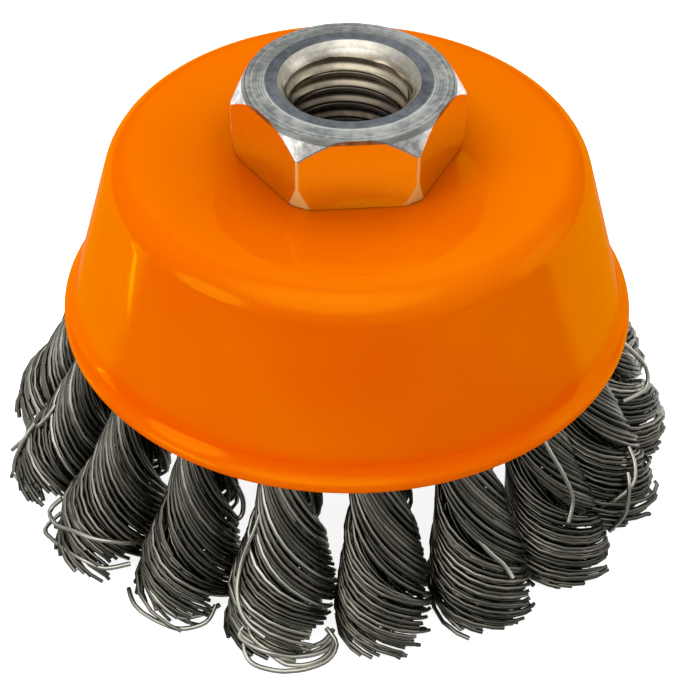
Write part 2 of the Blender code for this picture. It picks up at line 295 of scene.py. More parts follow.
# Studio: white floor and background, plain soft light
studio = {
    "floorSize": 3.0,
    "floorColour": (0.82, 0.82, 0.82, 1),
    "floorGlow": 0.86,  # what the camera sees of the floor besides its own shading
    "floorSeen": 1.1,  # what shiny things see of the floor behind the brush
    "frontSeen": 0.26,  # in front of it
    "farSeen": 0.07,  # and further out in front
    "frontEdge": (-0.012, 0.004),  # where along Y these parts meet
    "farEdge": (-0.19, -0.15),
    # A bright strip on the floor, which the cup's wall mirrors as a narrow glint at the left.
    # It runs where Y is side + bend / X, and ends between the two X of its edge.
    "strip": {
        "side": 0.0622,
        "bend": 0.00675,
        "halfWidth": 0.0036,
        "edge": (-0.115, -0.098),
        "level": 5.0,
    },
    "roomLight": 0.56,  # on the object, from all round
    "lamps": {
        "overhead": {"place": (-0.12, -0.02, 0.95), "size": 1.3, "power": 7.2},
        "window": {"place": (-0.56, -0.42, 0.3), "size": 0.26, "power": 1.0},
        "right": {"place": (0.65, 0.05, 0.3), "size": 0.3, "power": 0.35},
    },
    "aim": (0, 0, 25 * mm),  # of the lamps
    # The room that shiny things mirror: its grey from the ground to straight above, and
    # what is brighter in it, with angles in degrees from the direction toward it
    "roomSeen": [(0.0, 0.9), (0.5, 0.34), (0.56, 0.3), (0.7, 0.42), (0.85, 0.6), (1.0, 0.75)],
    "brighter": {
        "back": {"toward": (0.0, 0.76, 0.65), "inner": 12, "outer": 38, "level": 0.4},
        "ceiling": {"toward": (-0.1, -0.5, 0.85), "inner": 14, "outer": 40, "level": 0.85},
        "window": {"toward": (-0.85, -0.49, 0.2), "inner": 12, "outer": 19, "level": 1.25},
        "door": {"toward": (0.97, 0.1, 0.25), "inner": 8, "outer": 26, "level": 0.6},
    },
}


def floorPaint():
    # The camera sees the floor white, and shiny things see the levels that the studio gives.
    material, start, shader = newMaterial("floor", Base_Color=studio["floorColour"], Roughness=1.0)
    camera = start.node("ShaderNodeLightPath", out="Is Camera Ray")
    glow = start.node("ShaderNodeEmission", {}, {"Strength": camera * studio["floorGlow"]})
    both = start.node("ShaderNodeAddShader", {}, {0: outOf(shader), 1: glow})
    x, y = start.node("ShaderNodeTexCoord", out="Object").parts()[:2]
    front = y.ranged(*studio["farEdge"]).between(studio["farSeen"], studio["frontSeen"])
    level = y.ranged(*studio["frontEdge"]).between(front, studio["floorSeen"])
    strip = studio["strip"]
    aside = abs(y - strip["bend"] / x - strip["side"])
    inStrip = (1 - aside / strip["halfWidth"]).clamped() * (1 - x.ranged(*strip["edge"]))
    level = level + inStrip * strip["level"]
    mirrored = start.node("ShaderNodeEmission", {}, {"Strength": level})
    seen = {0: camera.other("Is Glossy Ray"), 1: both, 2: mirrored}
    useSurface(start.node("ShaderNodeMixShader", {}, seen))
    return material


def addRoom():
    world = bpy.data.worlds.new("room")
    world.use_nodes = True
    bpy.context.scene.world = world
    start = Flow(world.node_tree)
    background = world.node_tree.nodes["Background"]
    path = start.node("ShaderNodeLightPath", out="Is Camera Ray")
    shiny = path.other("Is Glossy Ray").atLeast(path.other("Is Transmission Ray"))
    x, y, z = start.node("ShaderNodeTexCoord", out="Generated").parts()
    stops = [(place, grey(level)) for place, level in studio["roomSeen"]]
    walls = start.node("ShaderNodeValToRGB", {"stops": stops}, {"Fac": z * 0.5 + 0.5})
    for patch in studio["brighter"].values():
        toward = Vector(patch["toward"]).normalized()
        nearness = x * toward.x + y * toward.y + z * toward.z
        outer, inner = (math.cos(math.radians(patch[edge])) for edge in ("outer", "inner"))
        walls = nearness.ranged(outer, inner).blended(walls, grey(patch["level"]), "ADD")
    colour = path.blended(shiny.blended(grey(studio["roomLight"]), walls), grey(1))
    feed(background, Color=colour)
    background.inputs["Strength"].default_value = 1.0


def addStudio():
    floor = bpy.data.objects.new("floor", bpy.data.meshes.new("floor"))
    mesh = bmesh.new()
    bmesh.ops.create_grid(mesh, x_segments=1, y_segments=1, size=studio["floorSize"] / 2)
    mesh.to_mesh(floor.data)
    mesh.free()
    bpy.context.scene.collection.objects.link(floor)
    floor.data.materials.append(floorPaint())
    addRoom()
    for name, lamp in studio["lamps"].items():
        data = bpy.data.lights.new(name, "AREA")
        data.shape = "SQUARE"
        data.size = lamp["size"]
        data.energy = lamp["power"]
        light = bpy.data.objects.new(name, data)
        light.location = lamp["place"]
        aim = Vector(studio["aim"]) - light.location
        light.rotation_euler = aim.to_track_quat("-Z", "Y").to_euler()
        light.visible_glossy = False
        bpy.context.scene.collection.objects.link(light)
    print("studio:", len(studio["lamps"]), "lamps")


# Cup: pressed sheet with a flared rim, orange enamel
cup = {
    "top": 40.0 * mm,
    "sheet": 1.4 * mm,
    "hole": 8.5 * mm,
    "flatRadius": 22.2 * mm,
    "shoulderRadius": 3.9 * mm,
    "wallAngle": math.radians(14.9),
    "wallDrop": 17.4 * mm,
    "flareRadius": 4.4 * mm,
    "rimAngle": math.radians(55.0),
    "steps": 160,
    "arcPoints": 12,
    "edgePoints": 7,  # round the rim's edge
    "orange": (0.97, 0.15, 0.0, 1),
    "deepOrange": (0.93, 0.12, 0.0, 1),
    "cloudScale": 45.0,  # of the change between these two
    # Painted shade: a deeper, redder orange painted in the concave crease where the wall turns out
    # into the rim
    "creaseShadeOrange": (0.98, 0.1, 0.0, 1),
    "creaseHeight": 22.0 * mm,  # where the wall turns out into the rim
    "creaseWidth": 2.0 * mm,
    "dust": (0.25, 0.07, 0.01, 1),
    "dustShare": 0.12,
    "dustScale": 1500.0,
    "dustEdge": (0.74, 0.8),  # of the noise; higher leaves fewer specks
    "peelScale": 420.0,  # of the enamel's orange peel
    "peelStrength": 0.12,
    "peelHeight": 0.05 * mm,
    "gloss": 0.18,  # share of the tinted gloss in the enamel
    "glossFacing": (0.37, 0.35, 0.005, 1),
    "glossGrazing": (1.0, 1.0, 0.15, 1),
    "glossRough": 0.05,
}


def enamel():
    # Matte paint and a little tinted gloss, since a plain coat mirrors pure white at low angles.
    material, start, shader = newMaterial("orangeEnamel", Specular_IOR_Level=0.0)
    place = start.node("ShaderNodeTexCoord", out="Object")
    cloud = place.noise(cup["cloudScale"], 2.0)
    colour = cloud.ranged(0.3, 0.75).blended(cup["orange"], cup["deepOrange"])
    height = place.parts()[2]
    # painted shade in the crease, strongest at the crease's height and fading out over its width
    creaseShade = (1 - abs(height - cup["creaseHeight"]) / cup["creaseWidth"]).clamped().eased()
    colour = creaseShade.blended(colour, cup["creaseShadeOrange"])
    dust = place.noise(cup["dustScale"], 1.0).ranged(*cup["dustEdge"]) * cup["dustShare"]
    feed(shader, Base_Color=dust.blended(colour, cup["dust"]))
    gloss = {"Metallic": 1.0, "Base Color": cup["glossFacing"]}
    gloss["Specular Tint"] = cup["glossGrazing"]
    gloss["Roughness"] = cup["glossRough"] + cloud * 0.06
    peel = place.noise(cup["peelScale"], 2.0)
    gloss["Normal"] = peel.bumped(cup["peelStrength"], cup["peelHeight"])
    gloss = start.node("ShaderNodeBsdfPrincipled", {}, gloss)
    both = {0: cup["gloss"], 1: outOf(shader), 2: gloss}
    useSurface(start.node("ShaderNodeMixShader", {}, both))
    return material


def cupSection():
    # The outer face from the hole to the rim, the rounded edge, and the inner face back.
    lean = cup["wallAngle"]
    sheet = cup["sheet"]
    count = cup["arcPoints"]
    shoulder = (cup["flatRadius"], cup["top"] - cup["shoulderRadius"])
    wallTop = onArc(shoulder, cup["shoulderRadius"], lean)
    flareTop = cup["top"] - cup["wallDrop"]
    flareStart = wallTop[0] + (wallTop[1] - flareTop) * math.tan(lean)
    flare = onArc((flareStart, flareTop), cup["flareRadius"], lean)
    edgeTurn = sheet / (2 * cup["flareRadius"] + sheet)  # of the flare, taken by the rounded edge
    rim = cup["rimAngle"] - edgeTurn
    outer = [(cup["hole"], cup["top"])]
    outer += arc(shoulder, cup["shoulderRadius"], math.pi / 2, lean, count)
    outer += arc(flare, cup["flareRadius"], math.pi + lean, math.pi + rim, count)
    inner = arc(flare, cup["flareRadius"] + sheet, math.pi + rim, math.pi + lean, count)
    inner += arc(shoulder, cup["shoulderRadius"] - sheet, lean, math.pi / 2, count)
    inner += [(cup["hole"], cup["top"] - sheet)]
    middle = [(a + b) / 2 for a, b in zip(outer[-1], inner[0])]
    along = math.pi / 2 + rim
    edge = arc(middle, sheet / 2, along - math.pi / 2, along - 3 * math.pi / 2, cup["edgePoints"])
    return outer + edge[1:-1] + inner


def makeCup():
    data = turnedMesh("cup_shell", cupSection(), cup["steps"])
    seat(newPiece("cup_shell", data, enamel()), "cup_enamel", "cup")
    print("cup:", len(data.polygons), "faces")


# Nut: hexagon head with an M14 thread, and its spigot staked over below
nut = {
    "face": 48.4 * mm,
    "collarRise": 0.1 * mm,  # of the ring round the thread, over the face
    "headBottom": 40.06 * mm,  # just clear of the cup
    "apothem": 10.75 * mm,  # from the axis to a flat
    "turn": math.radians(5.2),
    "edgeRadius": 0.6 * mm,
    "faceRadius": 10.82 * mm,  # past the flats, so that the chamfer fades out in their middle
    "chamfer": math.radians(57.5),  # below the level of the face
    "footRadius": 11.8 * mm,
    "footSlope": 5.0,  # how steeply the cut at the foot of each corner rises
    "ringRadius": 8.8 * mm,
    "softEdge": 0.07 * mm,
    "softShare": 0.4,  # the most of the chamfer that one soft edge takes
    "spigotRadius": 8.2 * mm,
    "stakeRadius": 9.5 * mm,
    "stakeTop": 36.2 * mm,
    "stakeBottom": 35.0 * mm,
    "chamferRows": (7, 8, 9, 10),  # of the points in nutColumn
    "footRows": (14, 15),
    "sectorColumns": 32,  # in each sixth of the hexagon
    "cornerColumns": 3,  # on each half of a rounded corner
    "glintShare": 0.4,  # of a rounded corner's width that gets the painted highlight
    "sharpAngle": math.radians(40),  # edges over this stay sharp
    "thread": {
        "rootRadius": 6.95 * mm,
        "pitch": 2.0 * mm,
        "depth": 0.98 * mm,
        "mouthRadius": 7.5 * mm,
        "mouthDepth": 2.1 * mm,
        "mouthRounding": 1.5,  # over 1 lets the mouth curve down into the bore
        "low": 35.0 * mm,
        "high": 48.5 * mm,
        "crestWidth": 0.78,  # under 1 makes the crests wider than the grooves
        "turns": 8,  # whole turns that cover the bore with one to spare
        "rowsPerTurn": 16,
        "columns": 192,
    },
    "colours": {
        "sides": (0.9, 0.83, 0.8, 1),
        "chamfer": (0.97, 0.95, 0.9, 1),
        "cornerGlint": (0.85, 0.97, 0.32, 1),  # painted highlight: the cup's orange light mirrored as a pale gold glint
        "faceDull": (0.16, 0.175, 0.17, 1),
        "faceBright": (0.58, 0.59, 0.56, 1),
        "ringHighlight": (0.93, 0.95, 0.9, 1),
        "ringDark": (0.05, 0.06, 0.075, 1),
        "ringPale": (0.16, 0.18, 0.2, 1),
        # The bore's colours are painted shade and light: dark deep down, darker in the grooves,
        # bright crests and lip near the top
        "boreDeep": (0.07, 0.05, 0.035, 1),
        "boreCrests": (0.62, 0.54, 0.4, 1),
        "grooveShade": (0.05, 0.04, 0.03, 1),
        "lip": (0.86, 0.81, 0.7, 1),
        "stains": (0.2, 0.19, 0.17, 1),
    },
    # Where one finish, painted shade or painted highlight passes into the next, measured from the
    # face's height or from a radius
    "zones": {
        "face": (-0.6 * mm, -0.45 * mm),
        "bore": (-8.5 * mm, -1.5 * mm),
        "lip": (3.9 * mm, 4.6 * mm),
        "mouth": (-0.1 * mm, 0.0),
        "ring": (-0.15 * mm, -0.05 * mm),
        "ringEdgeIn": (-0.06 * mm, 0.0),
        "ringEdgeOut": (0.06 * mm, 0.2 * mm),
        "groove": (-0.65 * mm, -0.1 * mm),
    },
    "grainScale": 900.0,
    "blotchScale": 1400.0,
    "stainScale": 160.0,
    "toolScale": 4200.0,  # of the turning marks, which are rings
    "markStrength": 0.4,
    "markHeight": 0.06 * mm,
}


def zone(flow, origin, name):
    low, high = nut["zones"][name]
    return flow.ranged(origin + low, origin + high)


def platedSteel():
    colours = nut["colours"]
    face, ring = nut["face"], nut["ringRadius"]
    mouth, root = nut["thread"]["mouthRadius"], nut["thread"]["rootRadius"]
    material, start, shader = newMaterial("platedSteel", Metallic=1.0)
    place = start.node("ShaderNodeTexCoord", out="Object")
    x, y, z = place.parts()
    radius = (x * x + y * y) ** 0.5
    onFace = zone(z, face, "face")
    inBore = 1 - zone(radius, mouth, "mouth")
    onChamfer = start.node("ShaderNodeAttribute", {"attribute_name": "chamfer"}, {}, "Fac")
    onEdge = start.node("ShaderNodeAttribute", {"attribute_name": "edge"}, {}, "Fac")
    grain = place.noise(nut["grainScale"], 4.0)
    blotch = place.noise(nut["blotchScale"], 4.0)
    stain = place.noise(nut["stainScale"], 2.0)
    tool = {"W": radius * nut["toolScale"], "Scale": 1.0, "Detail": 3.0}
    tool = start.node("ShaderNodeTexNoise", {"noise_dimensions": "1D"}, tool)

    # The face: turning marks, and a dark ring with a painted highlight along its edge
    worn = (tool * 0.35 + blotch * 0.4 + stain * 0.5).ranged(0.45, 0.85)
    top = worn.blended(colours["faceDull"], colours["faceBright"])
    inRing = 1 - zone(radius, ring, "ring")
    # painted highlight: a pale line painted round the ring's edge
    ringHighlight = zone(radius, ring, "ringEdgeIn") * (1 - zone(radius, ring, "ringEdgeOut"))
    top = (ringHighlight * 0.55).blended(top, colours["ringHighlight"])
    slate = (stain * 0.5 + grain * 0.5).ranged(0.35, 0.65)
    top = (inRing * 0.9).blended(top, slate.blended(colours["ringDark"], colours["ringPale"]))
    colour = onFace.blended(onChamfer.blended(colours["sides"], colours["chamfer"]), top)

    # The bore: painted light and shade, with a bright painted highlight on the lip, bright crests,
    # painted shade in the grooves, and all darker further down
    bore = zone(z, face, "bore").blended(colours["boreDeep"], colours["boreCrests"])
    bore = (zone(radius, root, "groove") * 0.85).blended(bore, colours["grooveShade"])
    bore = zone(z + radius * 0.8, face, "lip").blended(bore, colours["lip"])
    colour = inBore.blended(colour, bore)

    # Painted highlight: a pale gold glint on the rounded corners and on the cut at each corner's
    # foot
    colour = (onEdge * 0.85).blended(colour, colours["cornerGlint"])
    stained = blotch.ranged(0.35, 0.7) * (0.05 + onChamfer * 0.5 + inBore * 0.22)
    rough = 0.06 + grain * 0.06 + onFace * 0.16 + inBore * 0.12 + onChamfer * 0.1
    marks = tool * onFace * 0.7 + blotch * (onChamfer + onFace * 0.5) + grain * 0.04
    feed(shader, Base_Color=stained.blended(colour, colours["stains"]))
    feed(shader, Roughness=rough + onEdge * 0.25, Metallic=1 - onEdge * 0.4)
    feed(shader, Normal=marks.bumped(nut["markStrength"], nut["markHeight"]))
    return material


def cornerSpan():
    # Centre of the corner's rounding, and the angle from the corner at which the flat starts.
    rounding = nut["edgeRadius"]
    centre = (nut["apothem"] - rounding) / math.cos(math.pi / 6)
    return centre, math.atan2(rounding / 2, centre + rounding * math.cos(math.pi / 6))


def fromCorner(angle):
    # How far this angle is from the nearest corner.
    return abs((angle + math.pi / 6) % (math.pi / 3) - math.pi / 6)


def hexRadius(angle):
    # Distance from the axis to the hexagon's rounded outline.
    off = fromCorner(angle)
    centre, tangent = cornerSpan()
    if off < tangent:
        aside = centre * math.sin(off)
        return centre * math.cos(off) + math.sqrt(nut["edgeRadius"] ** 2 - aside ** 2)
    return nut["apothem"] / math.cos(math.pi / 6 - off)


def hexAngles():
    # Angles from a corner, close together on the rounded corners and beside them.
    tangent = cornerSpan()[1]
    count = nut["cornerColumns"]
    halfCorner = [tangent * i / count for i in range(count + 1)]
    flatColumns = nut["sectorColumns"] - 2 * count - 1
    margin = tangent / 4
    flatWidth = math.pi / 3 - 2 * (tangent + margin)
    flat = [tangent + margin + flatWidth * i / (flatColumns - 1) for i in range(flatColumns)]
    sector = halfCorner + flat + [math.pi / 3 - a for a in reversed(halfCorner[1:])]
    return [k * math.pi / 3 + a for k in range(6) for a in sector]


def nutColumn(angle):
    # The section at one angle, from the thread's upper mouth over the head to its lower mouth.
    mouth, ring = nut["thread"]["mouthRadius"], nut["ringRadius"]
    face, bottom = nut["face"], nut["headBottom"]
    collar = face + nut["collarRise"]
    soft = nut["softEdge"]
    side = hexRadius(angle)
    edge = min(side, nut["faceRadius"])
    width = side - edge
    drop = width * math.tan(nut["chamfer"])
    chamferEnd = face - drop
    step = min(soft / max(width, tiny), nut["softShare"])
    sideEnd = bottom + max(side - nut["footRadius"], 0) * nut["footSlope"]
    return [
        (mouth, collar),
        (ring - 2 * soft, collar),
        (ring - soft, collar),
        (ring + soft / 2, face + nut["collarRise"] / 2),
        (ring + 2 * soft, face),
        (edge - 2 * soft, face),
        (edge - soft, face),
        (edge + width * step / 2, face - drop * step / 2),
        (edge + width * step, face - drop * step),
        (side - width * step, chamferEnd + drop * step),
        (side - width * step / 2, chamferEnd + drop * step / 2),
        (side, chamferEnd - soft),
        (side, chamferEnd - 2 * soft),
        (side, sideEnd + 2 * soft),
        (side, sideEnd),
        (min(side, nut["footRadius"]), bottom),
        (nut["spigotRadius"], bottom),
        (nut["spigotRadius"], nut["stakeTop"]),
        (nut["stakeRadius"], nut["stakeTop"]),
        (nut["stakeRadius"], (nut["stakeTop"] + nut["stakeBottom"]) / 2),
        (nut["spigotRadius"], nut["stakeBottom"]),
        (mouth, nut["stakeBottom"]),
    ]


def threadTree(material, sizes):
    # A grid whose rows follow the helix, so that crest and root run along its edges.
    tree, start, s = newTree("boreThread", sizes)
    grid = {"Size X": 1.0, "Size Y": 1.0, "Vertices X": s.columns + 1}
    grid["Vertices Y"] = s.turns * s.rowsPerTurn + 1
    grid = start.node("GeometryNodeMeshGrid", {}, grid)
    x, y = start.node("GeometryNodeInputPosition").parts()[:2]
    around = x + 0.5
    up = (y + 0.5) * s.turns
    height = (s.low + (around + up - 1) * s.pitch).atLeast(s.low).atMost(s.high)
    phase = start.maths("FRACT", up)
    flank = ((abs(phase - 0.5) * 2) ** s.crestWidth).eased()
    radius = s.rootRadius - s.depth * flank
    for depth in (s.high - height, height - s.low):
        left = (1 - depth / s.mouthDepth).clamped() ** s.mouthRounding
        mouth = s.mouthRadius - (s.mouthRadius - s.rootRadius + s.depth) * (1 - left)
        radius = radius.atLeast(mouth)
    angle = around * (2 * math.pi) + s.turn
    point = start.vector(radius * angle.cosine(), radius * angle.sine(), height)
    mesh = start.node("GeometryNodeSetPosition", {}, {"Geometry": grid, "Position": point})
    mesh = start.node("GeometryNodeMergeByDistance", {}, {"Geometry": mesh, "Distance": tiny})
    endTree(mesh, material)
    return tree


def makeNut():
    material = platedSteel()
    sizes = dict(nut["thread"], turn=nut["turn"])
    thread = grow("thread", threadTree(material, sizes), sizes)
    mesh = bmesh.new()
    mesh.from_mesh(thread.data)
    bpy.data.objects.remove(thread)
    chamfer = mesh.verts.layers.float.new("chamfer")
    edge = mesh.verts.layers.float.new("edge")
    sideRows = range(nut["chamferRows"][-1] + 1, nut["footRows"][-1] + 1)
    columns = []
    angles = hexAngles()
    for i, angle in enumerate(angles):
        even = 2 * math.pi * i / len(angles)  # inside the ring, as the thread's columns are
        # the middle of each rounded corner and the cut at its foot carry the painted highlight
        onCorner = fromCorner(angle) < cornerSpan()[1] * nut["glintShare"]
        footShows = hexRadius(angle) > nut["footRadius"]
        column = []
        for row, (r, z) in enumerate(nutColumn(angle)):
            around = nut["turn"] + (even if r < nut["ringRadius"] else angle)
            corner = mesh.verts.new((r * math.cos(around), r * math.sin(around), z))
            corner[chamfer] = float(row in nut["chamferRows"])
            onFoot = footShows and row in nut["footRows"]
            corner[edge] = float(onFoot or onCorner and row in sideRows)
            column.append(corner)
        columns.append(column)
    for i, column in enumerate(columns):
        following = columns[(i + 1) % len(columns)]
        for j in range(len(column) - 1):
            mesh.faces.new((column[j], following[j], following[j + 1], column[j + 1]))
    bmesh.ops.remove_doubles(mesh, verts=mesh.verts, dist=2 * tiny)
    bmesh.ops.recalc_face_normals(mesh, faces=mesh.faces)
    data = bpy.data.meshes.new("threaded_nut")
    mesh.to_mesh(data)
    mesh.free()
    data.shade_smooth()
    data.set_sharp_from_angle(angle=nut["sharpAngle"])
    seat(newPiece("threaded_nut", data, material), "plated_steel", "hex_nut")
    print("nut:", len(data.polygons), "faces")


# Knots: tufts of wire, each folded over the plate's edge with both legs twisted together
knots = {
    "first": math.radians(-102.0),  # where knot 1 stands, the others follow anticlockwise
    "seedStep": 11,  # from one knot's seed to the next
    "evening": 0.8,  # share of the crowding that is gone at the tip
    "shortBunches": (0.4, 0.7),  # of the bunches' noise, from full length to the shortest
    "tones": [
        (0.0, (0.125, 0.122, 0.1, 1)),
        (0.6, (0.24, 0.232, 0.188, 1)),
        (0.93, (0.49, 0.47, 0.39, 1)),
        (1.0, (0.85, 0.84, 0.74, 1)),
    ],
    "dirt": (0.05, 0.045, 0.04, 1),
    "dirtShare": 0.35,
    "grainScale": 700.0,
    "sizes": {
        "wires": 46,
        "points": 57,
        "pointsPower": 1.35,  # over 1 draws the points together toward the tip
        "sides": 4,
        "wireRadius": 0.26 * mm,
        "azimuth": 0.0,  # this and the seed are set for each knot
        "seed": 1,
        "edgeRadius": 22.01 * mm,  # where the tuft is folded over the plate's web
        "edgeHeight": 32.1 * mm,
        "lean": math.radians(17.3),
        "halfSheet": 0.9 * mm,
        "legClear": 1.2 * mm,
        "webReach": 1.0 * mm,
        "legDepth": 1.86 * mm,
        "legWidth": 2.86 * mm,
        "merge": 7.0 * mm,  # over which the two legs come together
        "strandGap": 0.1 * mm,  # between them below that
        "ropeRadius": 2.87 * mm,
        "fullRadius": 5.75 * mm,
        "swellStart": 8.0 * mm,
        "swellEnd": 28.5 * mm,
        "swellPower": 2.1,  # over 1 keeps the swelling low on the knot
        "flattening": 0.92,  # a leg's width as a share of its radius
        "hollow": 0.72,  # how far the leg's outer face curves back toward its sides
        "closeStart": 0.5,  # share of the knot's length where its legs start to close up
        "closeEnd": 0.95,
        "topTwist": 0.165 / mm,
        "tipTwist": 0.6 / mm,
        "twistRise": 4.0,  # power with which the twist tightens toward the tip
        "tail": 1.3 * mm,  # the straight end of a wire, measured down the knot
        "tailLeast": 0.3,  # share of the tail that every wire has
        "tailSpread": 1.4,  # and the most that chance adds to it
        "tailTurn": 0.42,  # share of the twist's slant that the straight end keeps
        "ownTwist": 0.03 / mm,  # of the wires within one leg
        "inLayers": 36,  # wires in the two outer layers, the rest fill the middle
        "layerStep": 0.15,
        "layerScatter": 0.06,
        "middleRadius": 0.1,  # the least distance of a middle wire, as a share of the leg
        "middleSpread": 0.5,
        "goldenAngle": 2.39996,  # from one middle wire to the next, so that none line up
        "crowding": 0.6,  # up to 1 moves more of the wires to the outside of the leg
        "ragged": 0.035,  # share of its length by which a wire may fall short
        "looseness": 0.05,
        "looseTop": 0.35,  # share of it at the top of the knot
        "looseRise": 2.0,
        "driftWaves": 7.0,  # along a wire
        "driftStep": 3.71,  # in the noise, from one wire to the next
        "knotStep": 1.93,  # and for each step of the seed
        "legStep": 3.3,
        "clumping": 0.7,  # how far neighbouring wires part into bunches at the tip
        "clumpScale": 2.4,
        "clumpRise": 5.0,  # power with which the bunches part toward the tip
        "strayShare": 0.08,  # of the wires that stand out from the tuft
        "strayReach": 0.2,
        "foldShare": 0.07,  # of a leg's points that lie on the fold
        "shine": 1.0,  # painted light and shade: over 1 gives the knot more bright wires, under 1 darkens it, for how light falls on it
    },
    "habits": {  # where a knot differs from the others in the photograph
        # The numbers for brighter or darker wires here are painted light and shade: knot 1
        # brighter, knots 2, 4, 5 and 17 darker
        1: {"fullRadius": 6.15 * mm, "tailTurn": 0.7, "ragged": 0.02, "shine": 1.1},
        2: {"fullRadius": 5.35 * mm, "shine": 0.88},
        4: {"shine": 0.82},
        5: {"shine": 0.82},
        15: {"fullRadius": 6.1 * mm, "lean": math.radians(19.0)},
        16: {"fullRadius": 6.3 * mm, "lean": math.radians(19.5)},
        17: {"fullRadius": 6.3 * mm, "lean": math.radians(18.8), "shine": 0.9},
    },
}


def steelWire():
    material, start, shader = newMaterial("steelWire", Metallic=1.0)
    tone = start.node("ShaderNodeAttribute", {"attribute_name": "tone"}, {}, "Fac")
    grain = start.node("ShaderNodeTexCoord", out="Object").noise(knots["grainScale"], 3.0)
    colour = start.node("ShaderNodeValToRGB", {"stops": knots["tones"]}, {"Fac": tone})
    feed(shader, Base_Color=(grain * knots["dirtShare"]).blended(colour, knots["dirt"]))
    feed(shader, Roughness=0.2 + grain * 0.15)
    return material


def wireTubes(line, s, tone):
    # Round wires along the lines, each with its tone for steelWire.
    tone = {"Geometry": line, "Name": "tone", "Value": tone}
    line = line.node("GeometryNodeStoreNamedAttribute", {"domain": "CURVE"}, tone)
    circle = {"Resolution": s.sides, "Radius": s.wireRadius}
    circle = line.node("GeometryNodeCurvePrimitiveCircle", {}, circle)
    tubes = {"Curve": line, "Profile Curve": circle, "Fill Caps": True}
    return line.node("GeometryNodeCurveToMesh", {}, tubes)


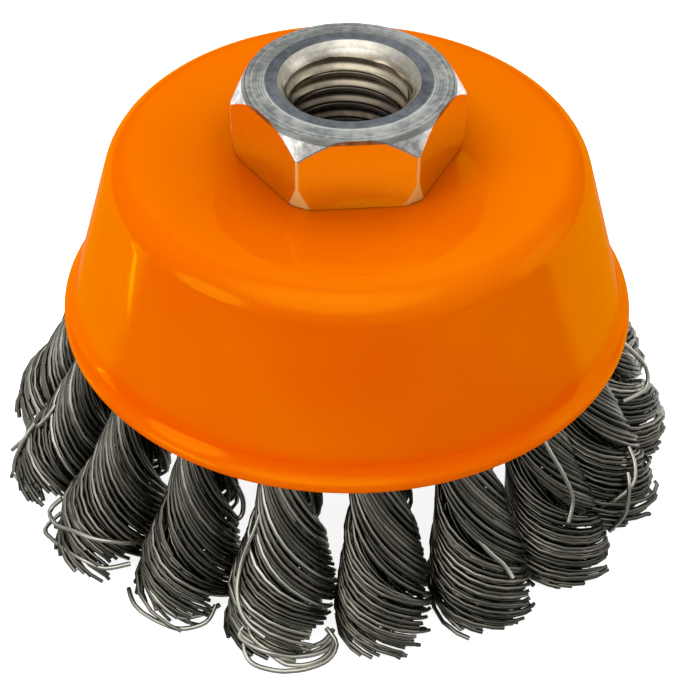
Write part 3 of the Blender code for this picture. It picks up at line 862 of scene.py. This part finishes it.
def knotTree(material):
    tree, start, s = newTree("twistedKnot", knots["sizes"])
    line = start.node("GeometryNodeCurvePrimitiveLine")
    line = {"Curve": line, "Count": s.points}
    line = start.node("GeometryNodeResampleCurve", {"mode": "COUNT"}, line)
    wires = {"Geometry": line, "Amount": s.wires}
    wires = start.node("GeometryNodeDuplicateElements", {"domain": "SPLINE"}, wires)
    wire = wires.other("Duplicate Index")
    share = start.node("GeometryNodeSplineParameter")

    def chance(salt):
        values = {2: 0.0, 3: 1.0, "ID": wire, "Seed": s.seed + salt}
        return start.node("FunctionNodeRandomValue", {"data_type": "FLOAT"}, values, 1)

    # Each wire's own numbers from 0 to 1
    lengthChance, turnChance, strayChance, toneChance, placeChance, tailChance = (
        chance(salt) for salt in range(1, 7)
    )

    # From 1 at one tip over 0 on top of the fold to -1 at the other tip
    run = 1 - share * 2
    leg = run.maths("SIGN", run)
    overFold = ((1 - run / s.foldShare) * (math.pi / 2)).clamped(0.0, math.pi)
    side = overFold.cosine()
    downLeg = (abs(run) - s.foldShare).atLeast(0.0) / (1 - s.foldShare)
    leanCosine, leanSine = s.lean.cosine(), s.lean.sine()
    full = s.edgeHeight / leanCosine

    def twistAt(depth):
        # The whole turn down to this depth
        tightening = (s.tipTwist - s.topTwist) * full / (s.twistRise + 1)
        return s.topTwist * depth + tightening * (depth / full) ** (s.twistRise + 1)

    def depthShare(across, aside, closing):
        # Each leg is round higher up, and the two become the halves of one round rope at the tip
        curved = (1 - (aside * s.hollow) ** 2).clamped() ** 0.5 * (across + 1) / 2
        halved = ((1 - aside * aside).clamped() ** 0.5 + across) / 2
        return closing.between(curved, halved)

    def crowded(angle, closing):
        # More wires at the outside of the leg, and evenly round it where the legs have closed up
        return angle - s.crowding * (1 - closing * knots["evening"]) * angle.sine()

    # The wire's place in the leg's section: in one of two layers or in the middle
    inMiddle = wire.maths("GREATER_THAN", wire, s.inLayers - 0.5)
    inside = wire.maths("MODULO", wire, 2) * s.layerStep + placeChance * s.layerScatter
    ring = inMiddle.between(1 - inside, s.middleRadius + placeChance * s.middleSpread)
    inLayer = wire * (2 * math.pi) / s.inLayers + turnChance * s.layerScatter
    turned = inMiddle.between(inLayer, wire * s.goldenAngle)

    # Where its tip comes to lie, and the length that cuts all tips level with the ground
    tipSpoke = crowded(turned + leg * full * s.ownTwist, 1.0)
    tipAside = ring * tipSpoke.sine()
    tipAcross = ring * tipSpoke.cosine()
    tipReach = s.fullRadius * ((1 - tipAside * tipAside).clamped() ** 0.5 + tipAcross) / 2
    tipOffset = s.fullRadius * s.flattening * tipAside
    tailLength = s.tail * (s.tailLeast + tailChance * s.tailSpread)
    tailRate = s.topTwist + (s.tipTwist - s.topTwist) * (1 - tailLength / full) ** s.twistRise
    tipTurn = twistAt(full - tailLength)
    tipOut = leg * tipReach * tipTurn.cosine() - tipOffset * tipTurn.sine()
    tipSideways = leg * tipReach * tipTurn.sine() + tipOffset * tipTurn.cosine()
    tipOut = tipOut - tipSideways * tailLength * tailRate * s.tailTurn
    levelLength = full + (tipOut * leanSine - s.wireRadius * 2) / leanCosine

    # Its bunch, which it shares with its neighbours, and its own length
    bunch = start.vector(
        ring * turned.cosine(), ring * turned.sine(), s.seed * s.knotStep + leg * s.legStep
    )
    bunchX, bunchY, bunchZ = bunch.noise(s.clumpScale, 0.0, "Color").parts()
    shortfall = lengthChance ** 2 * s.ragged
    shortfall = shortfall + bunchZ.ranged(*knots["shortBunches"]) * s.ragged / 2
    ownLength = levelLength * (1 - shortfall) + s.halfSheet
    along = ownLength * (1 - (1 - downLeg) ** s.pointsPower) - s.halfSheet
    below = (along - s.legClear).atLeast(0.0)
    deep = (below / full).clamped()
    tailStart = levelLength - tailLength
    twist = twistAt(below.atMost(tailStart))
    straight = (below - tailStart).atLeast(0.0) * tailRate * s.tailTurn

    # One leg's section at this depth
    swell = ((along - s.swellStart) / (s.swellEnd - s.swellStart)).clamped() ** s.swellPower
    rope = swell.between(s.ropeRadius, s.fullRadius)
    merged = (below / s.merge).clamped().eased()
    inner = merged.between(s.webReach, s.strandGap / 2)
    outer = merged.between(s.webReach + s.legDepth, rope)
    halfWidth = merged.between(s.legWidth / 2, rope * s.flattening) - s.wireRadius
    closing = deep.ranged(s.closeStart, s.closeEnd)

    # The wire's place in it, a little adrift, with its bunch, and now and then astray
    spoke = crowded(turned + side * below * s.ownTwist, closing)
    drift = start.vector(share * s.driftWaves, wire * s.driftStep, s.seed * s.knotStep)
    driftX, driftY = drift.noise(1.0, 1.0, "Color").parts()[:2]
    loose = s.looseness * (s.looseTop + deep * deep * s.looseRise)
    stray = ((strayChance - 1 + s.strayShare) / s.strayShare).clamped()
    stray = stray * s.strayReach * deep.eased()
    apart = s.clumping * deep ** s.clumpRise
    across = ring * spoke.cosine() * (1 + stray) + (driftX - 0.5) * loose
    across = across + (bunchX - 0.5) * apart
    aside = ring * spoke.sine() * (1 + stray) + (driftY - 0.5) * loose
    aside = aside + (bunchY - 0.5) * apart
    depthHere = merged.between((across + 1) / 2, depthShare(across, aside, closing))
    reach = inner + s.wireRadius + (outer - inner - s.wireRadius * 2) * depthHere
    offset = halfWidth * aside

    # Out, sideways and down from the middle of the plate's web
    turnedOut = reach * side * twist.cosine() - offset * twist.sine()
    turnedAside = reach * side * twist.sine() + offset * twist.cosine()
    out = turnedOut - turnedAside * straight
    sideways = turnedAside + turnedOut * straight
    down = along - reach * overFold.sine()
    radius = s.edgeRadius + down * leanSine + out * leanCosine
    height = s.edgeHeight - down * leanCosine + out * leanSine
    place = start.vector(radius, sideways, height.atLeast(s.wireRadius))
    wires = start.node("GeometryNodeSetPosition", {}, {"Geometry": wires, "Position": place})
    # the wires' tones, scaled by the knot's painted light and shade
    tubes = wireTubes(wires, s, (toneChance * s.shine).clamped())
    turned = {"Geometry": tubes, "Rotation": start.vector(z=s.azimuth)}
    endTree(start.node("GeometryNodeTransform", {}, turned), material)
    return tree


# Loose wires: ends that have sprung out of the tufts, each along points on its way
looseWires = {
    "tone": 0.98,
    "bendScale": 250.0,
    "sizes": {
        "wireRadius": 0.27 * mm,
        "sides": 6,
        "points": 26,
        "wobble": 0.35 * mm,
        "seed": 5,
    },
    # By the number of the knot, in millimetres
    "ways": {
        1: [
            [(-9.6, -33.9, 2.2), (-10.4, -35.2, 1.4), (-9.7, -36.9, 0.4), (-7.4, -38.0, 0.3),
             (-4.4, -37.9, 0.3), (-1.7, -36.7, 0.4), (-0.6, -34.9, 0.9), (-1.6, -33.4, 1.6)],
            [(-10.4, -34.0, 2.6), (-10.8, -34.9, 1.9), (-8.4, -36.8, 2.0), (-5.5, -36.8, 1.1),
             (-2.6, -36.0, 0.8), (-0.9, -34.4, 0.8), (-1.8, -33.0, 1.4)],
            [(-9.9, -34.2, 3.0), (-9.4, -35.6, 2.6), (-7.4, -36.6, 1.6), (-4.8, -36.5, 0.9),
             (-2.4, -35.4, 0.7), (-1.2, -33.9, 0.9)],
            [(-9.2, -35.0, 3.0), (-7.0, -35.9, 1.8), (-4.4, -35.7, 1.2), (-2.2, -34.6, 0.9),
             (-1.0, -33.0, 1.2)],
            [(-8.0, -36.2, 1.2), (-5.9, -37.4, 0.6), (-3.4, -37.2, 0.5), (-1.5, -35.8, 0.6),
             (-0.9, -33.9, 1.0)],
            [(-8.6, -28.9, 14.4), (-9.3, -29.8, 12.6), (-10.6, -31.0, 9.4),
             (-11.0, -33.3, 6.8), (-10.1, -35.3, 4.9), (-8.1, -36.6, 3.8)],
        ],
        3: [
            [(12.0, -26.6, 12.0), (13.6, -28.8, 11.4), (15.2, -29.8, 9.9), (16.7, -30.0, 8.2),
             (17.7, -30.8, 7.0)],
        ],
        4: [
            [(20.0, -20.0, 19.0), (21.1, -21.4, 17.3), (22.9, -22.4, 14.2),
             (24.2, -23.1, 11.2), (23.8, -24.5, 9.0)],
        ],
        5: [
            [(31.2, -13.0, 9.2), (31.8, -14.6, 8.3), (31.6, -16.2, 6.6), (29.7, -17.0, 4.9),
             (28.4, -16.4, 3.4)],
            [(31.0, -15.4, 7.6), (31.2, -16.7, 6.3), (31.0, -17.4, 3.2), (29.4, -17.9, 0.9)],
        ],
        6: [
            [(30.9, -2.0, 14.8), (32.4, -1.6, 13.0), (34.0, -1.9, 10.9), (33.9, -3.2, 9.1),
             (31.2, -5.6, 9.2)],
        ],
        16: [
            [(-32.0, -10.3, 12.0), (-33.2, -11.0, 10.4), (-36.0, -8.9, 5.6),
             (-37.8, -8.2, 3.0)],
            [(-34.4, -10.1, 9.0), (-35.8, -10.8, 7.0), (-36.9, -10.9, 4.4),
             (-37.3, -10.7, 1.8), (-35.5, -14.0, 2.4)],
        ],
        17: [
            [(-31.1, -17.3, 4.4), (-32.5, -18.1, 3.2), (-31.2, -21.4, 4.6),
             (-29.2, -23.6, 6.0), (-26.3, -25.3, 6.4), (-22.7, -24.7, 5.3),
             (-21.6, -23.5, 4.9)],
            [(-31.5, -16.5, 1.4), (-33.1, -18.4, 0.9), (-32.0, -20.7, 1.4),
             (-28.8, -24.7, 3.0), (-26.0, -25.9, 2.6), (-23.0, -25.6, 3.0)],
        ],
        18: [
            [(-23.2, -26.8, 0.4), (-22.3, -29.3, 0.4), (-20.0, -31.3, 0.3),
             (-17.3, -32.4, 0.3), (-14.6, -31.7, 0.5), (-13.6, -30.0, 1.4)],
            [(-20.4, -29.9, 3.6), (-19.3, -31.2, 2.8), (-17.4, -31.9, 1.6),
             (-15.3, -31.3, 1.2), (-13.2, -29.8, 1.2)],
            [(-12.6, -23.6, 14.6), (-11.4, -24.2, 13.6), (-10.7, -24.4, 11.6),
             (-10.9, -25.0, 9.8), (-12.2, -26.0, 9.8)],
        ],
    },
}


def looseTree(material):
    tree, start, s = newTree("looseWire", looseWires["sizes"], alongPath=True)
    line = start.node("GeometryNodeMeshToCurve", {}, {"Mesh": s.path})
    smooth = {"spline_type": "CATMULL_ROM"}
    line = start.node("GeometryNodeCurveSplineType", smooth, {"Curve": line})
    line = {"Curve": line, "Count": s.points}
    line = start.node("GeometryNodeResampleCurve", {"mode": "COUNT"}, line)
    place = start.node("GeometryNodeInputPosition")
    bend = {"Vector": place, "W": s.seed, "Scale": looseWires["bendScale"]}
    bend = start.node("ShaderNodeTexNoise", {"noise_dimensions": "4D"}, bend, "Color")
    bend = {0: bend, 1: (0.5, 0.5, 0.5)}
    bend = start.node("ShaderNodeVectorMath", {"operation": "SUBTRACT"}, bend)
    bend = {0: bend, "Scale": s.wobble}
    bend = start.node("ShaderNodeVectorMath", {"operation": "SCALE"}, bend)
    line = start.node("GeometryNodeSetPosition", {}, {"Geometry": line, "Offset": bend})
    endTree(wireTubes(line, s, looseWires["tone"]), material)
    return tree


def addLoose(piece, tree, ways):
    # Puts a tuft's loose wires into its mesh.
    path = bpy.data.meshes.new("path")
    corners, edges = [], []
    for way in ways:
        edges += [(len(corners) + i, len(corners) + i + 1) for i in range(len(way) - 1)]
        corners += [tuple(c * mm for c in corner) for corner in way]
    path.from_pydata(corners, edges, [])
    loose = grow("loose", tree, looseWires["sizes"], path)
    mesh = bmesh.new()
    mesh.from_mesh(piece.data)
    mesh.from_mesh(loose.data)
    mesh.to_mesh(piece.data)
    mesh.free()
    bpy.data.objects.remove(loose)


def makeKnots():
    names = [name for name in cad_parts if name.startswith("knot_") and name != "knot_plate"]
    material = steelWire()
    tree = knotTree(material)
    loose = looseTree(material)
    faces = 0
    for number in range(1, len(names) + 1):
        sizes = dict(knots["sizes"])
        sizes["azimuth"] = knots["first"] + 2 * math.pi * (number - 1) / len(names)
        sizes["seed"] = knots["seedStep"] * number
        sizes.update(knots["habits"].get(number, {}))
        piece = grow(f"wire_tuft_{number:02d}", tree, sizes)
        if number in looseWires["ways"]:
            addLoose(piece, loose, looseWires["ways"][number])
        seat(piece, "steel_wire", f"knot_{number:02d}")
        faces += len(piece.data.polygons)
    print("knots:", len(names), "with", faces, "faces")


# Knot plate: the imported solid, in dull pressed steel
knotPlate = {
    "pale": (0.42, 0.42, 0.4, 1),
    "dark": (0.25, 0.25, 0.24, 1),
    "cloudScale": 90.0,
    "grainScale": 500.0,
    "grainStrength": 0.2,
    "grainHeight": 0.05 * mm,
}


def pressedSteel():
    material, start, shader = newMaterial("pressedSteel", Metallic=1.0)
    place = start.node("ShaderNodeTexCoord", out="Object")
    grain = place.noise(knotPlate["grainScale"], 4.0)
    cloud = place.noise(knotPlate["cloudScale"], 2.0).ranged(0.3, 0.7)
    feed(shader, Base_Color=cloud.blended(knotPlate["pale"], knotPlate["dark"]))
    feed(shader, Roughness=0.32 + grain * 0.25)
    feed(shader, Normal=grain.bumped(knotPlate["grainStrength"], knotPlate["grainHeight"]))
    return material


def dressPlate():
    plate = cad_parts["knot_plate"]
    plate.data.materials.clear()
    plate.data.materials.append(pressedSteel())
    print("plate: dressed")


addCamera()
addStudio()
makeCup()
makeNut()
dressPlate()
makeKnots()

bpy.context.scene.view_settings.view_transform = "Standard"
